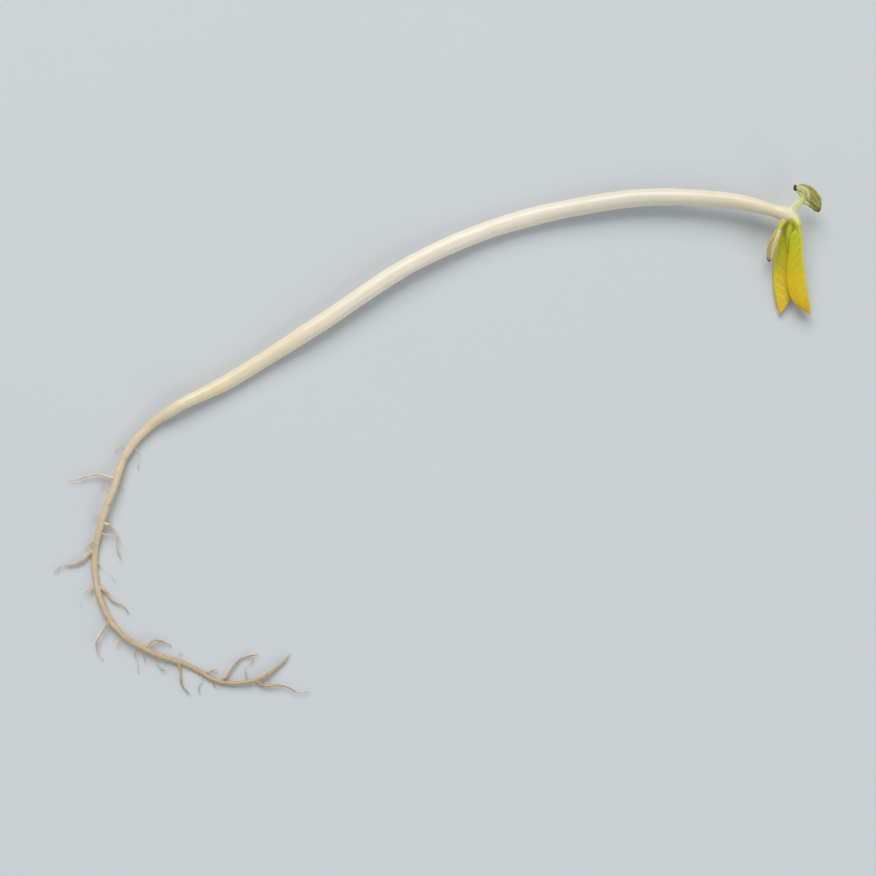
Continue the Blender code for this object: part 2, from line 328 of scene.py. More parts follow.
class SeedSettings(bpy.types.PropertyGroup):
    outer_half_width: length_value("Outer Half Width", "Half the width of the outer seed half", 0.00062)
    outer_half_thickness: length_value("Outer Half Thickness", "Half its thickness", 0.00044)
    belly: share_value("Belly", "How much further the outer half reaches towards the stem", 1.0)
    inner_half_width: length_value("Inner Half Width", "Half the width of the inner seed half", 0.00043)
    inner_half_thickness: length_value("Inner Half Thickness", "Half its thickness", 0.00034)
    wrinkle: length_value("Wrinkle", "Depth of the wrinkles", 0.00024)
    outer: colour_value("Outer Half", "Greenish brown back of the outer half", (0.38, 0.35, 0.085))
    # Painted shade: this dark colour goes into the outer half's creases, and also into its random dark
    # patches and its far end.
    outer_crease_shade_and_patches: colour_value("Outer Creases", "Colour in its creases", (0.19, 0.15, 0.04))
    belly_flesh: colour_value("Belly Flesh", "Pale side that faces the stem", (0.66, 0.65, 0.30))
    inner: colour_value("Inner Half", "Dull yellow of the inner half", (0.58, 0.46, 0.19))
    # Painted highlight: this pale side of the inner half stands for the bright line of light along it.
    ridge: colour_value("Ridge", "Pale yellow side that faces the leaves", (0.82, 0.70, 0.26))
    # Painted shade: this dark colour goes into the inner half's creases, and also into its random dark
    # patches.
    inner_crease_shade_and_patches: colour_value("Inner Creases", "Colour in its creases", (0.42, 0.29, 0.09))
    dry_end: colour_value("Dry End", "Brown end of the inner half", (0.11, 0.06, 0.025))
    scar: colour_value("Scar", "Dark spot where the seed hung in its pod", (0.035, 0.022, 0.012))


class StageSettings(bpy.types.PropertyGroup):
    floor: colour_value("Floor", "Colour of the plain floor", (0.60, 0.63, 0.65))
    floor_size: length_value("Floor Size", "Length of each side of the floor", 3.0)
    lens: lens_value("Lens", "Focal length in mm", 85)
    elevation: angle_value("Elevation", "How steeply the camera looks down", math.radians(85))
    filling: share_value("Filling", "Share of the picture's width that the sprout takes", 0.88)
    key_strength: strength_value("Key Strength", "Strength of the main soft light", 2.12)
    fill_strength: strength_value("Fill Strength", "Strength of the weaker soft light", 0.80)
    softness: angle_value("Softness", "How wide each light looks from the sprout", math.radians(44))
    room_light: share_value("Room Light", "Strength of the light from all round", 0.37)


def deselect_all():
    """Deselects every object, so that an operator acts on one piece."""
    bpy.ops.object.select_all(action="DESELECT")


def pick(piece):
    """Selects just this piece and makes it the active one."""
    deselect_all()
    piece.select_set(True)
    bpy.context.view_layer.objects.active = piece


def edit_all(piece):
    """Opens the piece in edit mode with all of it selected."""
    pick(piece)
    bpy.ops.object.mode_set(mode="EDIT")
    bpy.ops.mesh.select_mode(type="VERT")
    bpy.ops.mesh.select_all(action="SELECT")


def leave_edit():
    bpy.ops.object.mode_set(mode="OBJECT")


def apply_modifier(piece, kind, **settings):
    """Adds a modifier with these settings and applies it."""
    pick(piece)
    bpy.ops.object.modifier_add(type=kind)
    modifier = piece.modifiers[-1]
    for name, value in settings.items():
        setattr(modifier, name, value)
    bpy.ops.object.modifier_apply(modifier=modifier.name)


def smooth_curve(points):
    """Points on one smooth curve through all the given points, the same number on each stretch."""
    points = [Vector(p) for p in points]
    ends = [2 * points[0] - points[1]] + points + [2 * points[-1] - points[-2]]
    curve = []
    for a, b, c, d in zip(ends, ends[1:], ends[2:], ends[3:]):
        for i in range(CURVE_STEPS):
            t = i / CURVE_STEPS
            slope = (c - a) * t + (2 * a - 5 * b + 4 * c - d) * t**2 + (3 * b - a - 3 * c + d) * t**3
            curve.append(b + 0.5 * slope)
    curve.append(points[-1])
    return curve


def even_curve(points, spacing):
    """The same smooth curve, read at even distances along it."""
    fine = smooth_curve(points)
    run = [0.0]
    for p, q in zip(fine, fine[1:]):
        run.append(run[-1] + (q.xyz - p.xyz).length)
    count = max(2, round(run[-1] / spacing))
    curve = []
    k = 0
    for i in range(count + 1):
        goal = run[-1] * i / count
        while k < len(run) - 2 and run[k + 1] < goal:
            k += 1
        share = (goal - run[k]) / (run[k + 1] - run[k])
        curve.append(fine[k].lerp(fine[k + 1], min(1.0, share)))
    return curve


def middle_line(route, spacing):
    """The middle line of a route as x, y, z and radius, read at even distances."""
    return [Vector((x, y, lift + radius, radius)) for x, y, lift, radius in even_curve(route, spacing)]


def draw_line(points):
    """A smooth curve object through points of x, y, z and radius."""
    deselect_all()
    bpy.ops.curve.primitive_bezier_curve_add(enter_editmode=True, location=(0, 0, 0))
    bpy.ops.curve.select_all(action="SELECT")
    bpy.ops.curve.delete(type="VERT")
    for x, y, z, radius in points:
        bpy.ops.curve.vertex_add(location=(x, y, z))
        bpy.ops.curve.radius_set(radius=radius)
    bpy.ops.curve.select_all(action="SELECT")
    bpy.ops.curve.handle_type_set(type="AUTOMATIC")
    leave_edit()
    line = bpy.context.object
    line.data.twist_mode = "Z_UP"
    return line


def draw_guide(places, rolls):
    """A line to bend a piece along, rolled about itself at each place, and its length."""
    guide = draw_line([(*place, 1) for place in places])
    guide.data.resolution_u = GUIDE_STEPS
    spline = guide.data.splines[0]
    for point, roll in zip(spline.bezier_points, rolls):
        point.tilt = roll
    return guide, spline.calc_length()


def bend_along(guide, piece):
    """Bends a piece that lies along +X onto its guide, and removes the guide."""
    apply_modifier(piece, "CURVE", object=guide, deform_axis="POS_X")
    bpy.data.objects.remove(guide)


def make_tube(points, sides, rings):
    """A closed round tube along points of x, y, z and radius."""
    tube = draw_line(points)
    tube.data.bevel_depth = 1
    tube.data.bevel_resolution = (sides - 4) // 2
    tube.data.resolution_u = rings
    tube.data.use_fill_caps = True
    bpy.ops.object.convert(target="MESH")
    face_outwards(tube)
    return tube


def face_outwards(piece):
    """Merges doubled points and turns every face outwards."""
    edit_all(piece)
    bpy.ops.mesh.remove_doubles(threshold=MERGE)
    bpy.ops.mesh.normals_make_consistent(inside=False)
    leave_edit()


def fuse(piece, others):
    """Joins the others into the piece as one solid."""
    group = bpy.data.collections.new("fused")
    for other in others:
        group.objects.link(other)
    apply_modifier(piece, "BOOLEAN", operation="UNION", operand_type="COLLECTION", collection=group)
    for other in others:
        bpy.data.objects.remove(other)
    bpy.data.collections.remove(group)
    face_outwards(piece)


def roughen(piece, lumps, depth=1):
    """Pushes the surface in and out in soft lumps of each size, to their share of this depth."""
    for size, share in lumps:
        clouds = bpy.data.textures.new("lumps", "CLOUDS")
        clouds.noise_scale = size
        strength = depth * share
        apply_modifier(piece, "DISPLACE", texture=clouds, texture_coords="LOCAL", strength=strength)


def push(piece, weights, height, direction):
    """Moves each point by its weight times the height."""
    group = piece.vertex_groups.new(name="push")
    for index, weight in enumerate(weights):
        group.add([index], weight, "REPLACE")
    apply_modifier(piece, "DISPLACE", vertex_group="push", strength=height, mid_level=0, direction=direction)
    piece.vertex_groups.remove(piece.vertex_groups["push"])


def press_on_floor(piece):
    """Flattens what would reach below the floor."""
    edit_all(piece)
    bpy.ops.mesh.select_all(action="DESELECT")
    leave_edit()
    for vertex in piece.data.vertices:
        vertex.select = vertex.co.z < 0
    bpy.ops.object.mode_set(mode="EDIT")
    bpy.ops.transform.resize(value=(1, 1, 0), center_override=(0, 0, 0))
    leave_edit()


def mark(piece, name, values, kind="FLOAT", part="value"):
    """Keeps a number or a vector for each point, for the materials to read."""
    attribute = piece.data.attributes.new(name, kind, "POINT")
    attribute.data.foreach_set(part, values)


def nearest_points(piece, points):
    """Which of these points each point of the piece is nearest to."""
    tree = KDTree(len(points))
    for i, point in enumerate(points):
        tree.insert(point.xyz, i)
    tree.balance()
    return [tree.find(vertex.co)[1] for vertex in piece.data.vertices]


def mark_skin(piece, points):
    """Keeps where each point lies along the middle line, and its place unrolled along it, in mm."""
    along = []
    unrolled = []
    last = len(points) - 1
    for vertex, i in zip(piece.data.vertices, nearest_points(piece, points)):
        ahead = (points[min(i + 1, last)].xyz - points[max(i - 1, 0)].xyz).normalized()
        side = ahead.cross(Vector((0, 0, 1))).normalized()
        up = side.cross(ahead)
        off = vertex.co - points[i].xyz
        run = i * TRACE_STEP + off.dot(ahead)
        along.append(i / last)
        unrolled += [off.dot(side), off.dot(up), run]
    mark(piece, "along", along)
    mark(piece, "unrolled", unrolled, "FLOAT_VECTOR", "vector")


def check_closed(piece):
    """Stops the script if the piece has an edge that isn't between two faces."""
    uses = Counter(key for face in piece.data.polygons for key in face.edge_keys)
    loose = sum(count != 2 for count in uses.values())
    if loose:
        raise RuntimeError(f"{piece.name} is not closed: {loose} edges")


def finish_piece(piece, name, material, node=None):
    """Brings a piece down to metres, shades it and hands it to the frame in place of its solid."""
    edit_all(piece)
    bpy.ops.mesh.normals_make_consistent(inside=False)
    bpy.ops.transform.resize(value=(MM, MM, MM), center_override=(0, 0, 0))
    leave_edit()
    bpy.ops.object.shade_smooth_by_angle(angle=SMOOTH_ANGLE)
    piece.name = name
    piece.data.name = name
    check_closed(piece)
    piece.data.materials.append(material)
    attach(piece, BODY)
    if node:
        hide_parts(node)


class Paint:
    """Builds one node material. Each step gives back the output that the next step reads."""

    def __init__(self, name):
        self.material = bpy.data.materials.new(name)
        self.material.use_nodes = True
        self.nodes = self.material.node_tree.nodes
        self.links = self.material.node_tree.links
        self.shader = self.nodes["Principled BSDF"]

    def feed(self, node, values):
        """Sets or links a node's inputs by name or number."""
        for key, value in values.items():
            if isinstance(value, bpy.types.NodeSocket):
                self.links.new(value, node.inputs[key])
            else:
                node.inputs[key].default_value = value

    def put(self, values):
        """Sets or links the shader's own inputs."""
        self.feed(self.shader, values)

    def attribute(self, name, output="Fac"):
        """What is kept on the piece for each point."""
        node = self.nodes.new("ShaderNodeAttribute")
        node.attribute_name = name
        return node.outputs[output]

    def mapped(self, where, scale, shift=(0, 0, 0)):
        """A place, scaled and shifted."""
        node = self.nodes.new("ShaderNodeMapping")
        self.feed(node, {"Vector": where, "Scale": scale, "Location": shift})
        return node.outputs["Vector"]

    def place(self, shift=(0, 0, 0)):
        """The place on the piece, in mm."""
        where = self.nodes.new("ShaderNodeTexCoord").outputs["Object"]
        return self.mapped(where, (1 / MM, 1 / MM, 1 / MM), shift)

    def unrolled(self, stretch):
        """The place unrolled along the piece, in mm."""
        return self.mapped(self.attribute("unrolled", "Vector"), stretch)

    def noise(self, scale, detail=3, roughness=0.55, where=None):
        """A cloudy pattern from 0 to 1, over the place on the piece or over another place."""
        node = self.nodes.new("ShaderNodeTexNoise")
        values = {"Scale": scale, "Detail": detail, "Roughness": roughness}
        self.feed(node, {"Vector": where or self.place(), **values})
        return node.outputs["Fac"]

    def distance(self, point):
        """How far the place on the piece is from a point, in mm."""
        node = self.nodes.new("ShaderNodeVectorMath")
        node.operation = "DISTANCE"
        self.feed(node, {0: self.place(), 1: point})
        return node.outputs["Value"]

    def spread(self, value, low, high, new_low=0.0, new_high=1.0):
        """Maps one range of values onto another, smoothly and within its ends."""
        node = self.nodes.new("ShaderNodeMapRange")
        node.interpolation_type = "SMOOTHSTEP"
        names = ("Value", "From Min", "From Max", "To Min", "To Max")
        self.feed(node, dict(zip(names, (value, low, high, new_low, new_high))))
        return node.outputs["Result"]

    def math(self, operation, a, b=0.0):
        """One sum of two numbers."""
        node = self.nodes.new("ShaderNodeMath")
        node.operation = operation
        self.feed(node, {0: a, 1: b})
        return node.outputs["Value"]

    def mix(self, share, first, second):
        """Two colours, mixed by a share."""
        node = self.nodes.new("ShaderNodeMix")
        node.data_type = "RGBA"
        colours = [x if isinstance(x, bpy.types.NodeSocket) else (*x, 1) for x in (first, second)]
        self.feed(node, {0: share, 6: colours[0], 7: colours[1]})
        return node.outputs[2]

    def bump(self, height, distance, strength, below=None):
        """Fine relief, on top of the relief below it."""
        node = self.nodes.new("ShaderNodeBump")
        self.feed(node, {"Height": height, "Distance": distance, "Strength": strength})
        if below:
            self.links.new(below, node.inputs["Normal"])
        return node.outputs["Normal"]


def stem_skin(settings):
    """Glossy flesh with watery streaks: cream near the root, white in the middle, greyer towards the tip."""
    paint = Paint("stem_skin")
    along = paint.attribute("along")
    streaks = paint.noise(2.6, 4, where=paint.unrolled((1, 1, 0.12)))
    threads = paint.noise(7, where=paint.unrolled((1, 1, 0.05)))
    clouds = paint.noise(0.35)
    specks = paint.noise(1.7, 5, 0.7, paint.place((3, 1, 7)))
    near_root = paint.spread(along, 0.42, 0.0)
    near_tip = paint.spread(along, 0.80, 1.0)
    warm = paint.math("MAXIMUM", near_root, paint.math("MULTIPLY", near_tip, 0.8))
    from_neck = paint.distance(NECK)
    warm = paint.math("MAXIMUM", warm, paint.spread(from_neck, 3.5, 1.0))
    # The flesh turns greyer towards the tip.
    colour = paint.mix(paint.spread(along, 0.56, 0.76, 0, 0.6), settings.flesh, settings.glassy)
    colour = paint.mix(warm, colour, settings.ends)
    colour = paint.mix(paint.spread(streaks, 0.50, 0.78, 0, 0.65), colour, settings.glassy)
    colour = paint.mix(paint.spread(clouds, 0.55, 0.80, 0, 0.35), colour, settings.ends)
    colour = paint.mix(paint.spread(specks, 0.70, 0.78, 0, 0.45), colour, settings.specks)
    seam = paint.math("MINIMUM", paint.distance(COLLAR), from_neck)
    relief = paint.bump(threads, 0.00004, 0.35)
    paint.put({"Base Color": colour, "Normal": paint.bump(specks, 0.00003, 0.25, relief)})
    paint.put({"Roughness": paint.spread(clouds, 0.3, 0.7, 0.27, 0.42), "IOR": 1.38})
    paint.put({"Coat Weight": settings.wetness, "Coat Roughness": 0.16})
    paint.put({"Subsurface Weight": paint.spread(seam, 0.6, 2.4, 0.0, 0.85)})
    paint.put({"Subsurface Radius": (1.0, 0.75, 0.5), "Subsurface Scale": settings.depth_of_light})
    return paint.material


def root_skin(settings, stem):
    """Cream skin that goes tan and brown towards the tips."""
    paint = Paint("root_skin")
    along = paint.attribute("along")
    reach = paint.attribute("reach")
    patches = paint.noise(0.7, 4, 0.6)
    grain = paint.noise(4.5, 4, 0.6, paint.place((5, 2, 1)))
    age = paint.math("ADD", paint.spread(along, 0.0, 0.9, 0, 0.7), paint.spread(reach, 0.1, 1.0, 0, 0.4))
    colour = paint.mix(paint.spread(along, 0.0, 0.10), stem.ends, settings.young)
    colour = paint.mix(age, colour, settings.old)
    colour = paint.mix(paint.spread(patches, 0.52, 0.75, 0, 0.55), colour, settings.stain)
    colour = paint.mix(paint.spread(grain, 0.40, 0.70, 0, 0.25), colour, settings.young)
    seam = paint.distance(COLLAR)
    dryness = paint.spread(seam, 0.5, 3.5, 0.7, 1.0)
    roughness = paint.math("MULTIPLY", paint.spread(grain, 0.3, 0.7, 0.36, 0.55), dryness)
    paint.put({"Base Color": colour, "Normal": paint.bump(grain, 0.00004, 0.5)})
    paint.put({"Roughness": roughness, "Coat Weight": 0.25, "Coat Roughness": 0.2})
    paint.put({"Subsurface Weight": paint.spread(seam, 0.6, 2.4, 0.0, 0.5)})
    paint.put({"Subsurface Radius": (1.0, 0.7, 0.4), "Subsurface Scale": 0.0003})
    return paint.material


def tip_skin(settings, stem):
    """Pale neck that goes yellow-green at the node and along the stalks."""
    paint = Paint("tip_skin")
    from_neck = paint.distance(NECK)
    clouds = paint.noise(1.3)
    grain = paint.noise(6, where=paint.place((2, 9, 4)))
    stalks = paint.spread(paint.distance(LEAF_BASES), 3.1, 2.4)
    colour = paint.mix(paint.spread(from_neck, 0.9, 2.0), stem.ends, settings.neck)
    colour = paint.mix(paint.spread(from_neck, 1.4, 2.8), colour, settings.node)
    colour = paint.mix(stalks, colour, settings.stalks)
    pale = paint.math("MULTIPLY", paint.spread(clouds, 0.5, 0.8, 0, 0.4), paint.spread(from_neck, 1.2, 2.0))
    pale = paint.math("MULTIPLY", pale, paint.spread(stalks, 0, 1, 1.0, 0.2))
    colour = paint.mix(pale, colour, settings.neck)
    paint.put({"Base Color": colour, "Normal": paint.bump(grain, 0.00004, 0.4)})
    paint.put({"Roughness": paint.spread(clouds, 0.3, 0.7, 0.30, 0.45)})
    paint.put({"Coat Weight": 0.25, "Coat Roughness": 0.2})
    paint.put({"Subsurface Weight": paint.spread(from_neck, 0.6, 2.0, 0.0, 0.6)})
    paint.put({"Subsurface Radius": (1.0, 0.9, 0.3), "Subsurface Scale": 0.0004})
    return paint.material


def leaf_skin(name, painted_light, settings):
    """Yellow-green at the stalk and golden beyond, mixed with the veins' paler colour; a leaf in shade can
    take more of it all over, as painted light.
    """
    paint = Paint(name)
    along = paint.attribute("along")
    veins = paint.attribute("vein")
    across = paint.attribute("across")
    clouds = paint.noise(0.8)
    cells = paint.noise(7)
    drift = paint.math("ADD", along, paint.spread(clouds, 0.25, 0.75, -0.12, 0.12))
    colour = paint.mix(paint.spread(drift, 0.05, 0.60), settings.base, settings.middle)
    colour = paint.mix(paint.spread(drift, 0.62, 1.0, 0, 0.9), colour, settings.tip)
    colour = paint.mix(paint.spread(across, 0.75, 1.0, 0, 0.35), colour, settings.tip)
    # Painted light: everywhere takes at least this share of the paler vein colour, which lightens the shaded
    # lower leaf.
    colour = paint.mix(paint.spread(veins, 0.2, 0.9, painted_light, 0.55), colour, settings.veins)
    paint.put({"Base Color": colour, "Normal": paint.bump(cells, 0.00004, 0.5)})
    paint.put({"Roughness": paint.spread(clouds, 0.3, 0.7, 0.36, 0.5), "Specular IOR Level": 0.28})
    paint.put({"Coat Weight": 0.04, "Coat Roughness": 0.3, "Subsurface Weight": 0.4})
    paint.put({"Subsurface Radius": (1.0, 0.7, 0.1), "Subsurface Scale": 0.00025})
    return paint.material


def seed_skin(name, flesh, crease, pale, far_end, slant):
    """Dried flesh with painted shade in its creases, darker patches at random, and one pale side that
    narrows by a slant along its length.
    """
    paint = Paint(name)
    along = paint.attribute("along")
    clouds = paint.noise(1.5, 4, 0.6)
    grain = paint.noise(8, 4, 0.6)
    border = paint.math("MULTIPLY", paint.math("SUBTRACT", along, 0.4), slant)
    border = paint.math("ADD", border, paint.spread(clouds, 0.3, 0.7, -0.1, 0.1))
    paleness = paint.spread(paint.math("SUBTRACT", paint.attribute("pale_side"), border), -0.15, 0.15)
    colour = paint.mix(paleness, flesh, pale)
    # Painted shade: the creases are darkened with the crease colour, less so on the pale side.
    painted_crease_shade = paint.spread(paint.attribute("crease"), 0.15, 0.75, 0, 0.8)
    painted_crease_shade = paint.math("MULTIPLY", painted_crease_shade, paint.spread(paleness, 0, 1, 1.0, 0.5))
    colour = paint.mix(painted_crease_shade, colour, crease)
    colour = paint.mix(paint.spread(clouds, 0.55, 0.75, 0, 0.4), colour, crease)
    frayed = paint.math("ADD", along, paint.spread(clouds, 0.2, 0.8, -0.06, 0.06))
    colour = paint.mix(paint.spread(frayed, 0.84, 0.94), colour, far_end)
    paint.put({"Base Color": colour, "Normal": paint.bump(grain, 0.00005, 0.6)})
    paint.put({"Roughness": paint.spread(grain, 0.3, 0.7, 0.42, 0.62)})
    paint.put({"Coat Weight": 0.1, "Coat Roughness": 0.35, "Subsurface Weight": 0.15})
    paint.put({"Subsurface Radius": (1.0, 0.7, 0.2), "Subsurface Scale": 0.0002})
    return paint.material


def scar_skin(settings):
    """The dry dark spot at the end of the outer seed half."""
    paint = Paint("scar_skin")
    grain = paint.noise(9)
    colour = paint.mix(grain, settings.scar, settings.dry_end)
    paint.put({"Base Color": colour, "Normal": paint.bump(grain, 0.00005, 0.6), "Roughness": 0.6})
    return paint.material


def make_stem(settings):
    """The long white stem."""
    stem = make_tube(middle_line(STEM_ROUTE, STEM_STEP), STEM_SIDES, STEM_RINGS)
    mark_skin(stem, middle_line(STEM_ROUTE, TRACE_STEP))
    roughen(stem, STEM_LUMPS, settings.lump_depth / MM)
    press_on_floor(stem)
    finish_piece(stem, "long_stem", stem_skin(settings), "stem")


def swaying_route(root_points, place, hand, length, radius, draw):
    """A route that leaves the root on one side and sways as it bends towards the root's tip."""
    base = root_points[place]
    along = (root_points[place + 1].xy - root_points[place - 1].xy).normalized()
    side = Vector((-along.y, along.x)) * hand
    heading = math.radians(draw.uniform(*ROOTLET_HEADING))
    bend = math.radians(draw.uniform(*ROOTLET_BEND))
    sway = math.radians(draw.uniform(*ROOTLET_SWAY))
    phase = draw.uniform(0, math.tau)
    flat = base.xy
    route = []
    for before, share in zip((0.0, *ROOTLET_SHARES), ROOTLET_SHARES):
        turn = heading - bend * share + sway * math.sin(ROOTLET_WAVES * share + phase)
        flat = flat + (along * math.cos(turn) + side * math.sin(turn)) * length * (share - before)
        lift = (base.z + base.w - radius) * (1 - share) + draw.uniform(*ROOTLET_LIFT) * share
        route.append((flat.x, flat.y, lift, radius))
    return route


def rootlet_route(number, root_points, draw):
    """Where on the root one side rootlet grows, and its route, the same as its solid's."""
    first, last = ROOTLET_SPAN
    stray = draw.uniform(-ROOTLET_STRAY, ROOTLET_STRAY)
    down_root = first + (last - first) * (number + stray) / (ROOTLETS - 1)
    place = min(len(root_points) - 2, max(1, round(down_root * (len(root_points) - 1))))
    hand = 1 if number % 2 else -1
    length = draw.uniform(*ROOTLET_LENGTH)
    return place, swaying_route(root_points, place, hand, length, ROOTLET_SOLID_RADIUS, draw)


def fine_route(root_points, draw):
    """Where on the root one hair-thin rootlet grows, and its route."""
    place = draw.randint(FINE_START, len(root_points) - 3)
    hand = draw.choice((-1, 1))
    length = draw.uniform(*FINE_LENGTH)
    radius = draw.uniform(*FINE_RADIUS)
    return place, swaying_route(root_points, place, hand, length, radius, draw)


def slim_down(route, radius):
    """The same middle line with a flared base and a fine tip."""
    slim = []
    points = middle_line(route, ROOTLET_STEP)
    for i, point in enumerate(points):
        share = i / (len(points) - 1)
        flare = 1 + ROOTLET_FLARE * max(0.0, 1 - share * ROOTLET_FLARE_FADE)
        slim.append(Vector((*point.xyz, radius * flare * (1 - ROOTLET_TAPER * share))))
    return slim


def make_root(settings, stem):
    """The curling taproot with its side rootlets and hair-thin ones, as one solid."""
    root = make_tube(middle_line(ROOT_ROUTE, ROOT_STEP), ROOT_SIDES, ROOT_RINGS)
    trace = middle_line(ROOT_ROUTE, TRACE_STEP)
    # each point with how far down the taproot it is, and how far out on a rootlet
    traces = [(point, i / (len(trace) - 1), 0.0) for i, point in enumerate(trace)]
    solid_points = even_curve(ROOT_ROUTE[ROOT_SOLID_START:-1], ROOT_STEP)
    draw = random.Random(ROOTLET_SEED)
    rootlets = []
    for number in range(ROOTLETS):
        place, route = rootlet_route(number, solid_points, draw)
        rootlets.append((place, route, settings.rootlet_radius / MM, ROOTLET_SIDES, ROOTLET_RINGS))
    for _ in range(settings.fine_rootlets):
        place, route = fine_route(solid_points, draw)
        rootlets.append((place, route, route[0][3], FINE_SIDES, FINE_RINGS))
    branches = []
    for place, route, radius, sides, rings in rootlets:
        points = slim_down(route, radius)
        branches.append(make_tube(points, sides, rings))
        down_root = place / (len(solid_points) - 1)
        traces += [(p, down_root, i / (len(points) - 1)) for i, p in enumerate(points)]
    fuse(root, branches)
    nearest = nearest_points(root, [point for point, _, _ in traces])
    mark(root, "along", [traces[i][1] for i in nearest])
    mark(root, "reach", [traces[i][2] for i in nearest])
    roughen(root, ROOT_LUMPS, settings.crinkle / MM)
    press_on_floor(root)
    finish_piece(root, "curling_root", root_skin(settings, stem), "root")


def make_shoot_tip(settings, stem):
    """The swollen neck with its stalks, bud and links, grown together in one skin."""
    neck = make_tube(middle_line(NECK_ROUTE, STALK_STEP), NECK_SIDES, STALK_RINGS)
    routes = [UPPER_STALK, LOWER_STALK, BUD, OUTER_LINK, INNER_LINK]
    fuse(neck, [make_tube(middle_line(route, STALK_STEP), STALK_SIDES, STALK_RINGS) for route in routes])
    apply_modifier(neck, "REMESH", mode="VOXEL", voxel_size=settings.grain / MM)
    apply_modifier(neck, "SMOOTH", factor=0.5, iterations=6)
    roughen(neck, TIP_LUMPS)
    finish_piece(neck, "leafy_tip", tip_skin(settings, stem), "shoot_tip")


def vein_weight(share, reach):
    """How far a place on a blade stands out as a vein, from 0 to 1."""
    weight = math.exp(-((reach / MIDRIB_SPREAD) ** 2)) * (1 - 0.6 * share)
    for number in range(SIDE_VEINS):
        crest = FIRST_VEIN + VEIN_SPACING * number + VEIN_SLANT * reach**1.2
        near = math.exp(-(((share - crest) / VEIN_SPREAD) ** 2))
        weight = max(weight, SIDE_VEIN_HEIGHT * near * (1 - reach**4))
    return weight


def closing(share):
    """How full a blade is near its ends: almost 0 at an end, 1 from a little way in."""
    at_base = min(1.0, share / BASE_ROUND)
    at_tip = min(1.0, (1 - share) / TIP_POINT)
    return max(END_WIDTH, math.sqrt(max(0.0, (1 - (1 - at_base) ** 2) * (1 - (1 - at_tip) ** 2))))


def folded_place(share, across, full_width, opening):
    """Where a place on a folded blade lies: out from the midrib, and off the plane between its halves."""
    reach = abs(across) ** STRIP_CROWDING
    half = 1 if across >= 0 else -1
    swell = math.sin(math.pi * min(1.0, max(0.0, share) ** SWELL_LEAN)) ** SWELL_BLUNTNESS
    width = STALK_WIDTH * (1 - share) ** 2 + (full_width - TIP_WIDTH) * swell + TIP_WIDTH
    close = closing(share)
    out = close * reach * width * (1 if half > 0 else LOWER_HALF)
    radius = FOLD_RADIUS * close
    round_fold = math.sqrt(1 - (1 - min(1.0, out / radius)) ** 2)
    off = radius * round_fold + swell * (math.tan(opening) * out + LEAF_ARCH * math.sin(math.pi * reach))
    frill = FRILL * math.sin(SHORT_WAVES * share + 2 * half) * reach**4
    wave = EDGE_WAVE * swell * (math.sin(LONG_WAVES * share) * reach**2 + frill)
    return out, half * off + wave, reach


def make_leaf(name, midrib, rolls, blade_side, painted_light, settings):
    """A young leaf, folded shut, with its edges to the right (1) or the left (-1) of its midrib."""
    full_width = settings.width / MM
    guide, length = draw_guide(midrib, [-blade_side * math.radians(roll) for roll in rolls])
    deselect_all()
    bpy.ops.mesh.primitive_grid_add(x_subdivisions=LEAF_ROWS, y_subdivisions=LEAF_STRIPS, size=2)
    leaf = bpy.context.object
    edit_all(leaf)
    bpy.ops.transform.translate(value=(1, 0, 0))
    bpy.ops.transform.resize(value=(length / 2, 1, 1), center_override=(0, 0, 0))
    leave_edit()
    shares = [vertex.co.x / length for vertex in leaf.data.vertices]
    reaches = []
    for vertex, share in zip(leaf.data.vertices, shares):
        out, off, reach = folded_place(share, vertex.co.y, full_width, settings.opening)
        vertex.co.y = -blade_side * out
        vertex.co.z = off
        reaches.append(reach)
    veins = [vein_weight(share, reach) for share, reach in zip(shares, reaches)]
    mark(leaf, "along", shares)
    mark(leaf, "across", reaches)
    mark(leaf, "vein", veins)
    push(leaf, veins, -blade_side * settings.vein_height / MM, "NORMAL")
    edges = leaf.vertex_groups.new(name="thick")
    for index, (share, reach) in enumerate(zip(shares, reaches)):
        thick = (1 - EDGE_THINNING * reach**3) * max(END_THICKNESS, closing(share))
        edges.add([index], thick, "REPLACE")
    apply_modifier(leaf, "SOLIDIFY", thickness=settings.thickness / MM, offset=0, vertex_group="thick")
    bend_along(guide, leaf)
    press_on_floor(leaf)
    solid = name.replace("blade_", "leaf_")
    finish_piece(leaf, name, leaf_skin(name + "_skin", painted_light, settings), solid)


def groove(turn):
    """A narrow groove at every half turn: 1 in its bottom, 0 on the ridge between two grooves."""
    return (1 - abs(math.sin(turn))) ** 1.5


